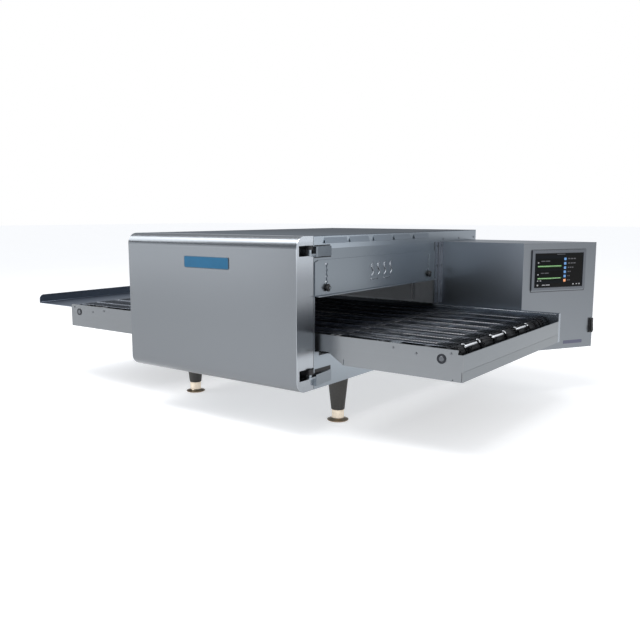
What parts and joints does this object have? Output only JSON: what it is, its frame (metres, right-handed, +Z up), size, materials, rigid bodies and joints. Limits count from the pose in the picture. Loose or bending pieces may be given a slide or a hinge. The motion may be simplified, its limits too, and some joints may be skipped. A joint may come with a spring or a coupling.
{
  "type": "conveyor pizza oven",
  "caption": "Countertop belt-conveyor oven with swing-open front door, height-adjustable tunnel baffles, pull-out crumb trays, landing tray, screw feet and an angled touch-screen control box.",
  "frame": {"origin": "centre of the overall footprint at worktop height, under the feet", "axes": "+X along the conveyor to the control-box end, +Y from the door to the back, +Z up"},
  "size_m": [1.406, 0.887, 0.432],
  "materials": {
    "stainless_side": "brushed lengthwise, satin",
    "stainless_top": "brushed, satin",
    "stainless_door": "vertical brushing, satin",
    "stainless_box": "brushed, satin",
    "stainless_plain": "brushed, satin",
    "liner_steel": "heat-darkened, matt",
    "rail_steel": "brushed lengthwise, satin",
    "tray_steel": "dark, satin",
    "belt_wire": "drawn wire, semi-bright",
    "shaft_steel": "turned, semi-bright",
    "wheel_steel": "pressed sheet",
    "element_steel": "oxidised sheath",
    "ceramic": "fired, matt",
    "wool": "mineral wool blanket",
    "gasket_rubber": "silicone, matt",
    "sleeve_black": "moulded, matt",
    "foot_nickel": "nickel plate, warm",
    "black_plastic": "moulded, fine grain",
    "lug_steel": "blackened",
    "screen_glass": "glossy cover glass",
    "badge_blue": "gloss enamel with a bright rim",
    "circuit_green": "circuit board",
    "motor_paint": "painted casting"
  },
  "bodies": {
    "root": {"side_panel_right": "stainless_side", "side_panel_left": "stainless_side", "side_post_right": "stainless_side", "top_cover": "stainless_top", "control_box_housing": "stainless_box", "base_pan": "stainless_plain", "back_panel": "stainless_plain", "control_box_base": "stainless_plain", "hinge_brackets": "stainless_plain", "chamber_liner": "liner_steel", "jet_plates": "liner_steel", "air_plenums": "liner_steel", "blower_housings": "liner_steel", "conveyor_rail_front": "rail_steel", "conveyor_rail_rear": "rail_steel", "conveyor_end_plates": "rail_steel", "landing_tray": "tray_steel", "conveyor_belt": "belt_wire", "belt_support_rack": "belt_wire", "drive_chain": "belt_wire", "shaft_bushes": "shaft_steel", "panel_screws": "shaft_steel", "heater_element": "element_steel", "catalyst_block": "ceramic", "insulation_blanket": "wool", "leg_sleeves": "sleeve_black", "power_switch_bezel": "black_plastic", "screen_bezel": "black_plastic", "cooling_fan_frame": "black_plastic", "cord_gland": "black_plastic", "touch_screen": "screen_glass", "control_electronics": "circuit_green", "blower_motors": "motor_paint", "gearmotor": "motor_paint"},
    "door": {"door_skin": "stainless_door", "door_inner_panel": "stainless_plain", "door_insulation": "wool", "door_gasket": "gasket_rubber", "door_nameplate": "badge_blue", "door_magnets": "stainless_plain", "door_hinge_lugs": "lug_steel"},
    "baffle_right_body": {"baffle_right": "stainless_side"},
    "baffle_left_body": {"baffle_left": "stainless_side"},
    "knob_right_front_body": {"knob_right_front": "black_plastic"},
    "knob_right_rear_body": {"knob_right_rear": "black_plastic"},
    "knob_left_front_body": {"knob_left_front": "black_plastic"},
    "knob_left_rear_body": {"knob_left_rear": "black_plastic"},
    "crumb_right_body": {"crumb_tray_right": "rail_steel"},
    "crumb_left_body": {"crumb_tray_left": "rail_steel"},
    "drive_shaft_body": {"drive_shaft": "shaft_steel"},
    "idler_shaft_body": {"idler_shaft": "shaft_steel"},
    "output_shaft_body": {"gearmotor_output_shaft": "shaft_steel"},
    "blower_left_body": {"blower_wheel_left": "wheel_steel"},
    "blower_right_body": {"blower_wheel_right": "wheel_steel"},
    "fan_body": {"cooling_fan_rotor": "black_plastic"},
    "foot_front_right_body": {"foot_front_right": "foot_nickel"},
    "foot_front_left_body": {"foot_front_left": "foot_nickel"},
    "foot_rear_right_body": {"foot_rear_right": "foot_nickel"},
    "foot_rear_left_body": {"foot_rear_left": "foot_nickel"},
    "rocker_body": {"power_rocker": "black_plastic"}
  },
  "joints": [
    {"name": "door_swing", "type": "hinge", "parent": "root", "child": "door", "pos_m": [0.33859, -0.3985, 0.26], "axis": [0, 0, 1], "range_deg": [0, 115]},
    {"name": "baffle_right_height", "type": "slide", "parent": "root", "child": "baffle_right_body", "axis": [0, 0, 1], "range_m": [-0.0508, 0]},
    {"name": "baffle_left_height", "type": "slide", "parent": "root", "child": "baffle_left_body", "axis": [0, 0, 1], "range_m": [-0.0508, 0]},
    {"name": "knob_right_front_turn", "type": "hinge", "parent": "root", "child": "knob_right_front_body", "pos_m": [0.34309, -0.3395, 0.32], "axis": [1, 0, 0], "range_deg": [0, 270]},
    {"name": "knob_right_rear_turn", "type": "hinge", "parent": "root", "child": "knob_right_rear_body", "pos_m": [0.34309, 0.1255, 0.32], "axis": [1, 0, 0], "range_deg": [0, 270]},
    {"name": "knob_left_front_turn", "type": "hinge", "parent": "root", "child": "knob_left_front_body", "pos_m": [-0.19691, -0.3395, 0.32], "axis": [-1, 0, 0], "range_deg": [0, 270]},
    {"name": "knob_left_rear_turn", "type": "hinge", "parent": "root", "child": "knob_left_rear_body", "pos_m": [-0.19691, 0.1255, 0.32], "axis": [-1, 0, 0], "range_deg": [0, 270]},
    {"name": "crumb_tray_right_pull", "type": "slide", "parent": "root", "child": "crumb_right_body", "axis": [1, 0, 0], "range_m": [0, 0.24]},
    {"name": "crumb_tray_left_pull", "type": "slide", "parent": "root", "child": "crumb_left_body", "axis": [-1, 0, 0], "range_m": [0, 0.24]},
    {"name": "drive_shaft_turn", "type": "hinge", "parent": "root", "child": "drive_shaft_body", "pos_m": [0.63269, -0.0885, 0.2027], "axis": [0, 1, 0], "continuous": true},
    {"name": "idler_shaft_turn", "type": "hinge", "parent": "root", "child": "idler_shaft_body", "pos_m": [-0.50811, -0.0885, 0.2027], "axis": [0, 1, 0], "continuous": true},
    {"name": "output_shaft_turn", "type": "hinge", "parent": "root", "child": "output_shaft_body", "pos_m": [0.51309, 0.1915, 0.2027], "axis": [0, 1, 0], "continuous": true},
    {"name": "blower_left_spin", "type": "hinge", "parent": "root", "child": "blower_left_body", "pos_m": [-0.05191, 0.2715, 0.27], "axis": [0, 1, 0], "continuous": true},
    {"name": "blower_right_spin", "type": "hinge", "parent": "root", "child": "blower_right_body", "pos_m": [0.19809, 0.2715, 0.27], "axis": [0, 1, 0], "continuous": true},
    {"name": "cooling_fan_spin", "type": "hinge", "parent": "root", "child": "fan_body", "pos_m": [0.59909, 0.3815, 0.206], "axis": [0, 1, 0], "continuous": true},
    {"name": "foot_front_right_screw", "type": "slide", "parent": "root", "child": "foot_front_right_body", "axis": [0, 0, -1], "range_m": [0, 0.025]},
    {"name": "foot_front_left_screw", "type": "slide", "parent": "root", "child": "foot_front_left_body", "axis": [0, 0, -1], "range_m": [0, 0.025]},
    {"name": "foot_rear_right_screw", "type": "slide", "parent": "root", "child": "foot_rear_right_body", "axis": [0, 0, -1], "range_m": [0, 0.025]},
    {"name": "foot_rear_left_screw", "type": "slide", "parent": "root", "child": "foot_rear_left_body", "axis": [0, 0, -1], "range_m": [0, 0.025]},
    {"name": "power_rocker_tilt", "type": "hinge", "parent": "root", "child": "rocker_body", "pos_m": [0.6952, 0.39018, 0.1805], "axis": [0.5134, 0.8582, 0], "range_deg": [0, 12]}
  ],
  "couplings": [
    {"joint": "idler_shaft_turn", "follows": "drive_shaft_turn", "ratio": 1},
    {"joint": "output_shaft_turn", "follows": "drive_shaft_turn", "ratio": 1}
  ]
}
